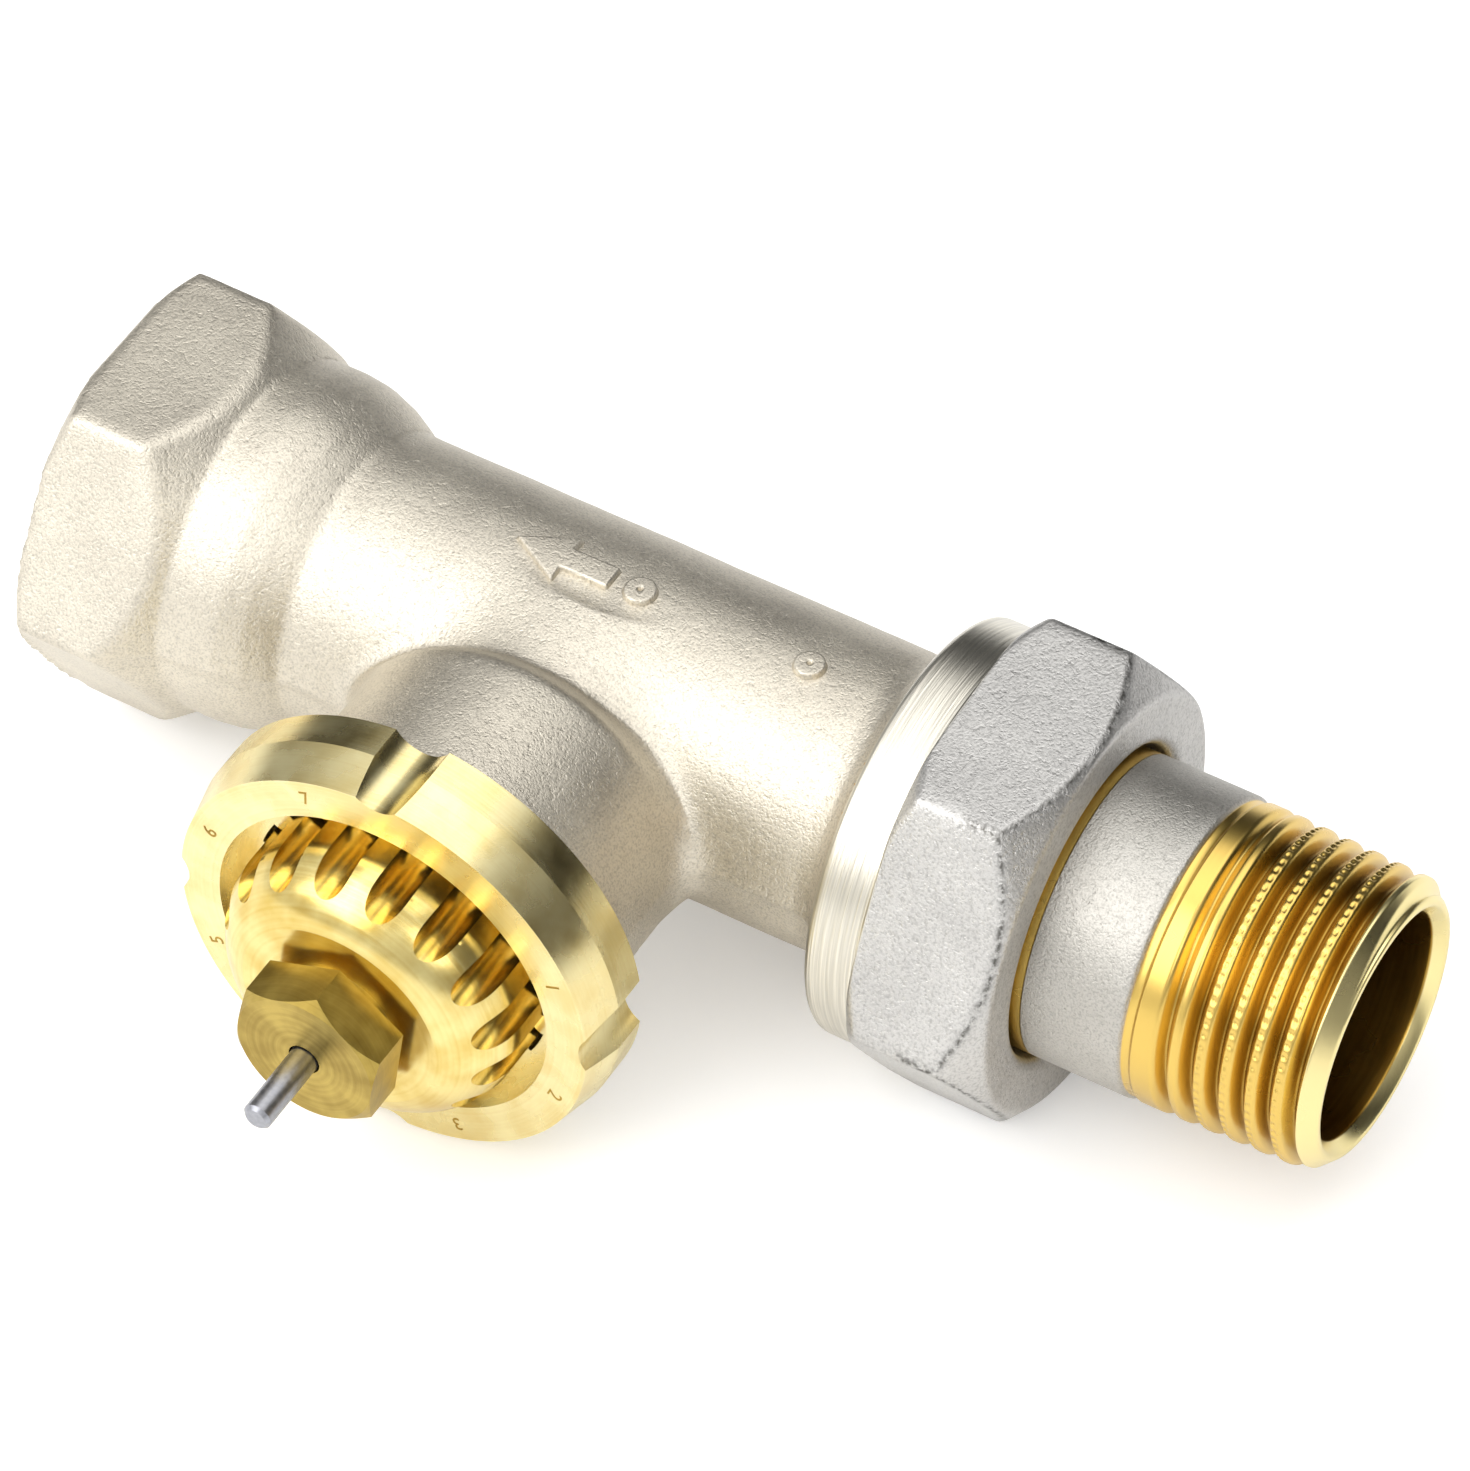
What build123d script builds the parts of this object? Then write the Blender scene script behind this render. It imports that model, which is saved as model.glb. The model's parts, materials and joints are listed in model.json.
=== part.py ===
# Straight radiator valve body for a half-inch pipe: a forged brass tee body with a
# presetting insert in its neck, and a union nut with a threaded tailpiece.
# Millimetres. The run lies along X, with the origin at the centre of the inlet mouth.
# The insert looks along -Y, and its heights are measured from the run axis outwards.
import os

from build123d import *

os.makedirs("parts", exist_ok=True)

# Run of the forged body, from the inlet hexagon to the union spigot
inlet_across_flats = 27.0
inlet_face_radius = 13.9
inlet_chamfer_length = 1.1
inlet_hex_end = 6.6
collar_start = 10.4
collar_end = 12.8
collar_radius = 12.7
tube_start = 18.6
tube_radius = 10.65
spigot_start = 60.2
spigot_end = 69.6
spigot_radius = 12.9
flare_length = 2.4

# Waterway of the body
inlet_thread_radius = 9.3155
inlet_thread_length = 14.0
inlet_cone_length = 2.6
passage_radius = 6.75
passage_end = 26.0
lower_channel_radius = 4.0
lower_channel_start = 23.0
floor_wall = 2.05
orifice_radius = 4.0
seat_lip_radius = 4.8
seat_height = 1.4
seat_plate_height = 0.8
upper_channel_radius = 3.9
upper_channel_height = 4.9
outlet_radius = 8.0
outlet_end = 48.5
union_seat_length = 2.4

# Neck that carries the insert
insert_x = 37.2
waist_radius = 9.6
waist_height = 8.6
neck_start = 11.0
neck_radius = 12.33
neck_end = 21.4
neck_spigot_radius = 11.3
neck_spigot_end = 23.4
neck_bore_radius = 10.0
chamber_radius = 7.4
root_fillet = 2.2

# Setting ring
ring_back = 22.0
ring_front = 27.7
ring_rim_radius = 15.93
ring_face_radius = 15.26
ring_rim_width = 2.6
ring_bore_radius = 12.34
ring_bore_depth = 2.5
ring_tooth_width = 1.3
ring_recess_radius = 11.6
groove_count = 4
groove_radius = 2.3
groove_depth = 1.25
groove_angle = 0.0

# Setting head with its flutes
flute_count = 16
flute_angle = 10.0
head_radius = 10.7
flute_floor_radius = 9.3
flute_width = 2.5
head_front = 32.83
head_face_radius = 7.29
dome_start = 28.2
flute_start = 23.7
flange_top = 19.4
flange_bottom = 13.0
head_waist_radius = 9.0
spring_chamber_radius = 4.4
spring_chamber_top = 24.6

# Gland and the pin through it
gland_across_flats = 10.0
gland_angle = 22.0
gland_back = 33.6
gland_front = 37.0
gland_face_radius = 5.0
gland_chamfer = 0.6
gland_collar_radius = 4.3
gland_shank_radius = 3.5
gland_shank_end = 28.0
gland_cavity_radius = 2.45
gland_cavity_top = 31.0
gland_washer_thickness = 0.9
pin_radius = 1.0
pin_tip = 42.7
pin_tip_chamfer = 0.25
spindle_top = 22.3

# Spindle, disc and spring
disc_lift = 2.2
disc_radius = 5.0
disc_thickness = 2.0
retainer_radius = 2.4
retainer_thickness = 0.8
spindle_radius = 1.6
stud_radius = 1.4
spindle_flange_radius = 4.6
spindle_flange_thickness = 1.2
spring_wire_radius = 0.4
spring_mean_radius = 3.0
spring_turns = 5
spring_top = 20.5
spring_cap_thickness = 1.0
spring_cap_radius = 3.8

# Setting barrel
barrel_radius = 7.2
barrel_bore_radius = 5.9
barrel_web = 1.8
barrel_window_height = 7.6
barrel_window_width = 7.0
barrel_spigot_length = 2.0
barrel_spigot_wall = 0.6

# Seals and the ring that keeps the head in the neck
head_seal_height = 16.2
head_seal_section = 0.75
barrel_seal_height = 9.9
barrel_seal_section = 0.5
pin_seal_section = 0.68
lip_seal_thickness = 0.9
retaining_ring_thickness = 1.0
retaining_ring_depth = 0.65
retaining_ring_width = 1.4

# Union nut
nut_gap = 0.4
nut_skirt_length = 4.0
nut_skirt_radius = 14.66
nut_across_flats = 30.0
nut_turn = 3.0
nut_face_radius = 14.6
nut_front_chamfer = 2.4
nut_back_chamfer = 1.3
nut_lip = 2.55

# Tailpiece
tail_end = 95.0
tail_tube_radius = 10.55
tail_bore_radius = 7.9
tail_collar_thickness = 1.5
tail_thread_radius = 10.35
tail_thread_length = 12.6
tail_relief_width = 0.9
tail_relief_depth = 0.5
tail_end_radius = 8.95
tail_end_chamfer = 1.5
tail_mouth_chamfer = 0.8

# Clearances
thread_clearance = 0.2
running_clearance = 0.05
slide_clearance = 0.15
face_clearance = 0.1
part_clearance = 0.3

# Places that follow from the sizes above
run_across = Plane(origin=(0, 0, 0), x_dir=(0, 1, 0), z_dir=(1, 0, 0))
insert_section = Plane(origin=(insert_x, 0, 0), x_dir=(1, 0, 0), z_dir=(0, 0, -1))
insert_axis = Axis((insert_x, 0, 0), (0, 1, 0))
lower_channel_height = lower_channel_radius + floor_wall - tube_radius
inlet_corner_radius = inlet_across_flats / 3**0.5
nut_corner_radius = nut_across_flats / 3**0.5
nut_bore_radius = spigot_radius + thread_clearance
nut_hole_radius = tail_tube_radius + 0.4
nut_start = spigot_start + nut_gap
tail_collar_radius = nut_bore_radius - 0.4
tail_collar_start = spigot_end + part_clearance
tail_collar_end = tail_collar_start + tail_collar_thickness
nut_shoulder = tail_collar_end + slide_clearance
nut_end = nut_shoulder + nut_lip
union_mouth_radius = outlet_radius + union_seat_length
thread_start = tail_end - tail_thread_length
gland_bore_radius = gland_shank_radius + face_clearance
pin_hole_radius = pin_radius + slide_clearance
disc_bottom = seat_height + disc_lift + face_clearance
disc_top = disc_bottom + disc_thickness
retainer_bottom = disc_bottom - retainer_thickness
barrel_bottom = seat_plate_height + part_clearance
barrel_web_bottom = flange_bottom - barrel_web
neck_step_height = flange_bottom - face_clearance
retaining_ring_bottom = flange_top + slide_clearance
retaining_ring_top = retaining_ring_bottom + retaining_ring_thickness
retaining_groove_radius = neck_bore_radius + retaining_ring_depth
ring_tooth_bottom = ring_front - ring_bore_depth - ring_tooth_width
ring_tooth_top = ring_front - ring_bore_depth
flute_slot_length = head_radius - flute_floor_radius + flute_width
flute_slot_radius = flute_floor_radius + flute_width / 2 + flute_slot_length / 2


def across_insert(height):
    """Plane square to the insert axis, with X along the run and Y upwards."""
    return Plane(origin=(insert_x, -height, 0), x_dir=(1, 0, 0), z_dir=(0, -1, 0))


def finish(piece, name):
    """Label a finished piece and write it as a STEP file."""
    piece.part.label = name
    export_step(piece.part, f"parts/{name}.step")


# Forged body: hexagon, collar, tube, spigot and neck in one piece
with BuildPart() as valve_body:
    with BuildSketch(run_across):
        RegularPolygon(inlet_across_flats / 2, 6, major_radius=False)
    extrude(amount=collar_start)
    with BuildSketch(Plane.XY):
        with BuildLine():
            Polyline(
                (0, 0),
                (0, inlet_face_radius),
                (inlet_chamfer_length, inlet_corner_radius),
                (inlet_hex_end, inlet_corner_radius),
                (collar_start, collar_radius),
                (collar_start, 0),
                close=True,
            )
        make_face()
    revolve(axis=Axis.X, mode=Mode.INTERSECT)
    with BuildSketch(Plane.XY):
        with BuildLine():
            Polyline(
                (tube_start, tube_radius),
                (tube_start, 0),
                (inlet_hex_end, 0),
                (inlet_hex_end, collar_radius),
                (collar_end, collar_radius),
            )
            TangentArc((collar_end, collar_radius), (tube_start, tube_radius), tangent=(1, 0))
        make_face()
        with BuildLine():
            flare_top = (spigot_start, spigot_radius)
            flare_foot = (spigot_start - flare_length, tube_radius)
            Polyline(flare_foot, (tube_start, tube_radius), (tube_start, 0), (spigot_end, 0))
            Polyline((spigot_end, 0), (spigot_end, spigot_radius), flare_top)
            TangentArc(flare_foot, flare_top, tangent=(1, 0))
        make_face()
    revolve(axis=Axis.X)
    with BuildSketch(insert_section):
        with BuildLine():
            Polyline(
                (0, 0),
                (waist_radius, 0),
                (waist_radius, waist_height),
                (neck_radius, neck_start),
                (neck_radius, neck_end),
                (neck_spigot_radius, neck_end),
                (neck_spigot_radius, neck_spigot_end),
                (0, neck_spigot_end),
                close=True,
            )
        make_face()
    revolve(axis=insert_axis)
    # Soft root where the neck grows out of the tube
    root_edges = (
        valve_body.edges(Select.LAST)
        .filter_by(GeomType.BSPLINE)
        .filter_by(lambda e: abs(e.center().X - insert_x) < waist_radius)
    )
    fillet(root_edges, root_fillet)
    # Inlet thread bore, its run-in cone and the passage to the seat
    with BuildSketch(Plane.XY):
        with BuildLine():
            cone_end = inlet_thread_length + inlet_cone_length
            Polyline(
                (0, 0),
                (0, inlet_thread_radius),
                (inlet_thread_length, inlet_thread_radius),
                (cone_end, passage_radius),
                (passage_end, passage_radius),
                (passage_end, 0),
                close=True,
            )
        make_face()
    revolve(axis=Axis.X, mode=Mode.SUBTRACT)
    with BuildSketch(run_across.offset(lower_channel_start)):
        with Locations((-lower_channel_height, 0)):
            Circle(lower_channel_radius)
    extrude(amount=insert_x + orifice_radius - lower_channel_start, mode=Mode.SUBTRACT)
    # Outlet passage with its cone seat for the tailpiece, and the way up to the chamber
    with BuildSketch(Plane.XY):
        with BuildLine():
            Polyline(
                (outlet_end, 0),
                (outlet_end, outlet_radius),
                (spigot_end - union_seat_length, outlet_radius),
                (spigot_end, union_mouth_radius),
                (spigot_end, 0),
                close=True,
            )
        make_face()
    revolve(axis=Axis.X, mode=Mode.SUBTRACT)
    with BuildSketch(run_across.offset(insert_x)):
        with Locations((-upper_channel_height, 0)):
            Circle(upper_channel_radius)
    extrude(amount=outlet_end - insert_x + face_clearance, mode=Mode.SUBTRACT)
    # Chamber, seat lip, orifice and the bore that holds the insert
    with BuildSketch(insert_section):
        with BuildLine():
            Polyline(
                (0, lower_channel_height),
                (orifice_radius, lower_channel_height),
                (orifice_radius, seat_height),
                (seat_lip_radius, seat_height),
                (seat_lip_radius, seat_plate_height),
                (chamber_radius, seat_plate_height),
                (chamber_radius, neck_step_height),
                (neck_bore_radius, neck_step_height),
                (neck_bore_radius, retaining_ring_bottom - running_clearance),
                (retaining_groove_radius + running_clearance, retaining_ring_bottom - running_clearance),
                (retaining_groove_radius + running_clearance, retaining_ring_top + running_clearance),
                (neck_bore_radius, retaining_ring_top + running_clearance),
                (neck_bore_radius, neck_spigot_end),
                (0, neck_spigot_end),
                close=True,
            )
        make_face()
    revolve(axis=insert_axis, mode=Mode.SUBTRACT)
finish(valve_body, "valve_body")

# Split ring that keeps the head in the neck
with BuildPart() as retaining_ring:
    with BuildSketch(across_insert(retaining_ring_bottom)):
        Circle(retaining_groove_radius)
        Circle(retaining_groove_radius - retaining_ring_width, mode=Mode.SUBTRACT)
        with Locations((0, -retaining_groove_radius)):
            Rectangle(4 * retaining_ring_width, 4 * retaining_ring_width, mode=Mode.SUBTRACT)
    extrude(amount=retaining_ring_thickness)
finish(retaining_ring, "retaining_ring")

# Setting head: the turned, fluted insert that closes the neck
with BuildPart() as setting_head:
    seal_floor_radius = neck_bore_radius - 2 * head_seal_section - face_clearance
    seal_half_width = head_seal_section + face_clearance
    flange_radius = neck_bore_radius - slide_clearance
    with BuildSketch(insert_section):
        with BuildLine():
            Polyline(
                (head_radius, dome_start),
                (head_radius, flute_start),
                (head_waist_radius, flute_start),
                (head_waist_radius, flange_top),
                (flange_radius, flange_top),
                (flange_radius, head_seal_height + seal_half_width),
                (seal_floor_radius, head_seal_height + seal_half_width),
                (seal_floor_radius, head_seal_height - seal_half_width),
                (flange_radius, head_seal_height - seal_half_width),
                (flange_radius, flange_bottom),
                (spring_chamber_radius, flange_bottom),
                (spring_chamber_radius, spring_chamber_top),
                (pin_hole_radius, spring_chamber_top),
                (pin_hole_radius, gland_shank_end - gland_washer_thickness),
                (gland_bore_radius, gland_shank_end - gland_washer_thickness),
                (gland_bore_radius, head_front),
                (head_face_radius, head_front),
            )
            TangentArc((head_radius, dome_start), (head_face_radius, head_front), tangent=(0, 1))
        make_face()
    revolve(axis=insert_axis)
    with BuildSketch(across_insert(flute_start)):
        with PolarLocations(flute_slot_radius, flute_count, start_angle=flute_angle):
            SlotCenterToCenter(flute_slot_length, flute_width)
    extrude(amount=head_front - flute_start, mode=Mode.SUBTRACT)
finish(setting_head, "setting_head")

# Setting ring: slides on the flutes of the head, with grooves for the sensor's clamp
with BuildPart() as setting_ring:
    rim_end = ring_back + ring_rim_width
    tooth_root_radius = head_radius + part_clearance
    with BuildSketch(insert_section):
        with BuildLine():
            Polyline(
                (ring_recess_radius, ring_back),
                (ring_rim_radius, ring_back),
                (ring_rim_radius, rim_end),
                (ring_face_radius, ring_front),
                (ring_bore_radius, ring_front),
                (ring_bore_radius, ring_tooth_top),
                (tooth_root_radius, ring_tooth_top),
                (tooth_root_radius, ring_tooth_bottom),
                (ring_recess_radius, ring_tooth_bottom),
                close=True,
            )
        make_face()
    revolve(axis=insert_axis)
    # Teeth that engage the flutes
    with BuildSketch(across_insert(ring_tooth_bottom)):
        with PolarLocations(flute_slot_radius + part_clearance, flute_count, start_angle=flute_angle):
            SlotCenterToCenter(flute_slot_length, flute_width - 2 * part_clearance)
        Circle((tooth_root_radius + ring_recess_radius) / 2, mode=Mode.INTERSECT)
    extrude(amount=ring_tooth_width)
    with BuildSketch(across_insert(ring_back)):
        groove_centre = ring_rim_radius + groove_radius - groove_depth
        with PolarLocations(groove_centre, groove_count, start_angle=groove_angle):
            Circle(groove_radius)
    extrude(amount=ring_front - ring_back, mode=Mode.SUBTRACT)
finish(setting_ring, "setting_ring")

# Gland nut: hexagon over a plain shank, bored for the pin and its seals
with BuildPart() as gland_nut:
    with BuildSketch(across_insert(gland_back)):
        RegularPolygon(gland_across_flats / 2, 6, major_radius=False, rotation=gland_angle)
    extrude(amount=gland_front - gland_back)
    with BuildSketch(insert_section):
        with BuildLine():
            gland_corner_radius = gland_across_flats / 3**0.5
            Polyline(
                (0, gland_back),
                (gland_corner_radius, gland_back),
                (gland_corner_radius, gland_front - gland_chamfer),
                (gland_face_radius, gland_front),
                (0, gland_front),
                close=True,
            )
        make_face()
    revolve(axis=insert_axis, mode=Mode.INTERSECT)
    with BuildSketch(insert_section):
        with BuildLine():
            Polyline(
                (0, gland_shank_end),
                (gland_shank_radius, gland_shank_end),
                (gland_shank_radius, head_front),
                (gland_collar_radius, head_front),
                (gland_collar_radius, gland_back),
                (0, gland_back),
                close=True,
            )
        make_face()
    revolve(axis=insert_axis)
    with BuildSketch(across_insert(gland_shank_end)):
        Circle(gland_cavity_radius)
    extrude(amount=gland_cavity_top - gland_shank_end, mode=Mode.SUBTRACT)
    with BuildSketch(across_insert(gland_cavity_top)):
        Circle(pin_hole_radius)
    extrude(amount=gland_front - gland_cavity_top, mode=Mode.SUBTRACT)
finish(gland_nut, "gland_nut")

# Washer that closes the gland's seal cavity
with BuildPart() as gland_washer:
    with BuildSketch(across_insert(gland_shank_end - gland_washer_thickness)):
        Circle(gland_shank_radius)
        Circle(pin_hole_radius, mode=Mode.SUBTRACT)
    extrude(amount=gland_washer_thickness)
finish(gland_washer, "gland_washer")

# Lip seal on the pin, lying on the washer
with BuildPart() as pin_lip_seal:
    with BuildSketch(across_insert(gland_shank_end)):
        Circle(gland_cavity_radius)
        Circle(pin_radius + running_clearance, mode=Mode.SUBTRACT)
    extrude(amount=lip_seal_thickness)
finish(pin_lip_seal, "pin_lip_seal")


def seal_ring(name, centre_radius, section_radius, height):
    """Round-section rubber ring about the insert axis."""
    with BuildPart() as ring:
        with BuildSketch(insert_section):
            with Locations((centre_radius, height)):
                Circle(section_radius)
        revolve(axis=insert_axis)
    finish(ring, name)


pin_seal_radius = pin_radius + running_clearance + pin_seal_section
pin_seal_height = gland_shank_end + lip_seal_thickness + pin_seal_section
seal_ring("pin_o_ring", pin_seal_radius, pin_seal_section, pin_seal_height)
head_seal_radius = neck_bore_radius - running_clearance - head_seal_section
seal_ring("head_o_ring", head_seal_radius, head_seal_section, head_seal_height)
barrel_seal_radius = chamber_radius - running_clearance - barrel_seal_section
seal_ring("barrel_o_ring", barrel_seal_radius, barrel_seal_section, barrel_seal_height)

# Steel pin that the sensor presses
with BuildPart() as pressure_pin:
    with BuildSketch(across_insert(spindle_top)):
        Circle(pin_radius)
    extrude(amount=pin_tip - spindle_top)
    chamfer(pressure_pin.edges().sort_by(Axis.Y)[0], pin_tip_chamfer)
finish(pressure_pin, "pressure_pin")

# Spindle with the flange that backs the disc
with BuildPart() as spindle:
    with BuildSketch(insert_section):
        with BuildLine():
            flange_top_height = disc_top + spindle_flange_thickness
            Polyline(
                (0, retainer_bottom),
                (stud_radius, retainer_bottom),
                (stud_radius, disc_top),
                (spindle_flange_radius, disc_top),
                (spindle_flange_radius, flange_top_height),
                (spindle_radius, flange_top_height),
                (spindle_radius, spindle_top),
                (0, spindle_top),
                close=True,
            )
        make_face()
    revolve(axis=insert_axis)
finish(spindle, "spindle")

# Rubber disc that closes on the seat
with BuildPart() as valve_disc:
    with BuildSketch(across_insert(disc_bottom)):
        Circle(disc_radius)
        Circle(stud_radius, mode=Mode.SUBTRACT)
    extrude(amount=disc_thickness)
finish(valve_disc, "valve_disc")

# Washer riveted under the disc
with BuildPart() as disc_retainer:
    with BuildSketch(across_insert(retainer_bottom)):
        Circle(retainer_radius)
        Circle(stud_radius, mode=Mode.SUBTRACT)
    extrude(amount=retainer_thickness)
finish(disc_retainer, "disc_retainer")

# Cap on the spindle that takes the spring's push
with BuildPart() as spring_cap:
    with BuildSketch(across_insert(spring_top)):
        Circle(spring_cap_radius)
        Circle(spindle_radius, mode=Mode.SUBTRACT)
    extrude(amount=spring_cap_thickness)
finish(spring_cap, "spring_cap")

# Setting barrel: the slotted sleeve that throttles the flow, carried by the head
with BuildPart() as setting_barrel:
    spigot_outer = spring_chamber_radius - running_clearance
    groove_floor = chamber_radius - 2 * barrel_seal_section - face_clearance
    groove_half_width = barrel_seal_section + face_clearance
    with BuildSketch(insert_section):
        with BuildLine():
            Polyline(
                (barrel_bore_radius, barrel_bottom),
                (barrel_radius, barrel_bottom),
                (barrel_radius, barrel_seal_height - groove_half_width),
                (groove_floor, barrel_seal_height - groove_half_width),
                (groove_floor, barrel_seal_height + groove_half_width),
                (barrel_radius, barrel_seal_height + groove_half_width),
                (barrel_radius, flange_bottom),
                (spigot_outer, flange_bottom),
                (spigot_outer, flange_bottom + barrel_spigot_length),
                (spigot_outer - barrel_spigot_wall, flange_bottom + barrel_spigot_length),
                (spigot_outer - barrel_spigot_wall, flange_bottom),
                (spindle_radius + slide_clearance, flange_bottom),
                (spindle_radius + slide_clearance, barrel_web_bottom),
                (barrel_bore_radius, barrel_web_bottom),
                close=True,
            )
        make_face()
    revolve(axis=insert_axis)
    with BuildSketch(insert_section):
        with Locations((barrel_radius, barrel_bottom)):
            window_size = barrel_window_height - barrel_bottom
            Rectangle(barrel_radius, window_size, align=(Align.CENTER, Align.MIN))
    extrude(amount=barrel_window_width / 2, both=True, mode=Mode.SUBTRACT)
finish(setting_barrel, "setting_barrel")

# Return spring between the barrel's web and the cap
with BuildPart() as return_spring:
    spring_bottom = flange_bottom + spring_wire_radius + running_clearance
    spring_height = spring_top - spring_wire_radius - running_clearance - spring_bottom
    with BuildLine() as coil:
        Helix(
            spring_height / spring_turns,
            spring_height,
            spring_mean_radius,
            center=(insert_x, -spring_bottom, 0),
            direction=(0, -1, 0),
        )
    with BuildSketch(coil.line ^ 0):
        Circle(spring_wire_radius)
    sweep(is_frenet=True)
finish(return_spring, "return_spring")

# Union nut: turned skirt over the spigot, hexagon, and the lip that draws the tailpiece in
with BuildPart() as union_nut:
    hex_start = nut_start + nut_skirt_length
    with BuildSketch(run_across.offset(hex_start)):
        RegularPolygon(nut_across_flats / 2, 6, major_radius=False, rotation=nut_turn)
    extrude(amount=nut_end - hex_start)
    with BuildSketch(Plane.XY):
        with BuildLine():
            Polyline(
                (hex_start, 0),
                (hex_start, nut_skirt_radius),
                (hex_start + nut_back_chamfer, nut_corner_radius),
                (nut_end - nut_front_chamfer, nut_corner_radius),
                (nut_end, nut_face_radius),
                (nut_end, 0),
                close=True,
            )
        make_face()
    revolve(axis=Axis.X, mode=Mode.INTERSECT)
    with BuildSketch(run_across.offset(nut_start)):
        Circle(nut_skirt_radius)
    extrude(amount=nut_skirt_length)
    with BuildSketch(run_across.offset(nut_start)):
        Circle(nut_bore_radius)
    extrude(amount=nut_shoulder - nut_start, mode=Mode.SUBTRACT)
    with BuildSketch(run_across.offset(nut_shoulder)):
        Circle(nut_hole_radius)
    extrude(amount=nut_lip, mode=Mode.SUBTRACT)
finish(union_nut, "union_nut")

# Tailpiece: cone nose, collar under the nut's lip, plain tube and threaded end
with BuildPart() as tailpiece:
    nose_gap = face_clearance * 2**0.5
    nose_start = spigot_end - union_seat_length + nose_gap
    nose_radius = outlet_radius
    nose_end_radius = nose_radius + tail_collar_start - nose_start
    thread_end = tail_end - tail_end_chamfer
    relief_end = thread_start + tail_relief_width
    relief_radius = tail_thread_radius - tail_relief_depth
    with BuildSketch(Plane.XY):
        with BuildLine():
            Polyline(
                (nose_start, tail_bore_radius),
                (nose_start, nose_radius),
                (tail_collar_start, nose_end_radius),
                (tail_collar_start, tail_collar_radius),
                (tail_collar_end, tail_collar_radius),
                (tail_collar_end, tail_tube_radius),
                (thread_start, tail_tube_radius),
                (thread_start, relief_radius),
                (relief_end, relief_radius),
                (relief_end, tail_thread_radius),
                (thread_end, tail_thread_radius),
                (tail_end, tail_end_radius),
                (tail_end, tail_bore_radius + tail_mouth_chamfer),
                (tail_end - tail_mouth_chamfer, tail_bore_radius),
                close=True,
            )
        make_face()
    revolve(axis=Axis.X)
finish(tailpiece, "tailpiece")
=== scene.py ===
# Straight radiator valve body: looks of every piece, in the order it is put together.
# Metres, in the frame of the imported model: run along X, insert along -Y, Z up.
import json
import math

import bmesh
import bpy
import numpy as np
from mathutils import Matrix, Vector, noise


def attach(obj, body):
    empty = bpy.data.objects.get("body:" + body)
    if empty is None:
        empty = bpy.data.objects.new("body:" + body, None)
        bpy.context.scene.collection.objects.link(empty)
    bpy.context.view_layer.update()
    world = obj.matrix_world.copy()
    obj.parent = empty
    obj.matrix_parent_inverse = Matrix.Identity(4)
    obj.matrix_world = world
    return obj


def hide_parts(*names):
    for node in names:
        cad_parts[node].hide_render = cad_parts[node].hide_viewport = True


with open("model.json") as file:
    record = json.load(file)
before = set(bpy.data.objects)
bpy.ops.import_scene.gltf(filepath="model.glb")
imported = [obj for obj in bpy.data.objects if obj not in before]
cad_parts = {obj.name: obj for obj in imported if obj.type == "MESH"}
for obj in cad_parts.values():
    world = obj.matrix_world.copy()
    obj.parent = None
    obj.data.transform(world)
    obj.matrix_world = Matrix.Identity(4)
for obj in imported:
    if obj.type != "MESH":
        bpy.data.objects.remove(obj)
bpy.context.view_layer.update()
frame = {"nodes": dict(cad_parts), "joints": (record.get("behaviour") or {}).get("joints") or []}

# Valve body: one brass forging, hot pressed in two halves and blasted, then nickel plated.
# The bores, the inlet mouth and the union spigot are machined. Its skin is a closed
# surface given by a rule: run and neck melted together with a soft root.
MM = 0.001
insert_x = next(j for j in frame["joints"] if j["name"] == "setting_turn")["pos_m"][0]
inlet_half_flats = 13.5 * MM
tube_radius = 10.65 * MM
spigot_start = 60.2 * MM
body_voxel = 0.4 * MM
edge_softness = 0.5 * MM
root_softness = 3.0 * MM
neck_root = 4.0 * MM
parting_ridge = 0.1 * MM
parting_step = 0.22 * MM


def linear(hex_colour):
    """An sRGB hex colour as the linear RGBA that a shader takes."""
    channels = [int(hex_colour[i:i + 2], 16) / 255 for i in (1, 3, 5)]
    return tuple(c / 12.92 if c <= 0.04045 else ((c + 0.055) / 1.055) ** 2.4 for c in channels) + (1.0,)


def add(tree, kind, sockets=None, **settings):
    """Add a node, apply its settings, and give its sockets values or links."""
    node = tree.nodes.new(kind)
    for key, value in settings.items():
        setattr(node, key, value)
    for key, value in (sockets or {}).items():
        socket = next((s for s in node.inputs if s.identifier == key), None) or node.inputs[key]
        if isinstance(value, bpy.types.NodeSocket):
            tree.links.new(value, socket)
        else:
            socket.default_value = value
    return node


def soft_min(a, b, width):
    """Smaller of two fields, rounded where they cross."""
    share = np.clip(0.5 + 0.5 * (b - a) / width, 0, 1)
    return b + (a - b) * share - width * share * (1 - share)


def hexagon(angle, half_flats, corner_angle):
    """Radius of a hexagon at an angle, with a corner at corner_angle."""
    sixth = math.pi / 3
    return half_flats / np.cos((angle - corner_angle) % sixth - sixth / 2)


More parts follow.
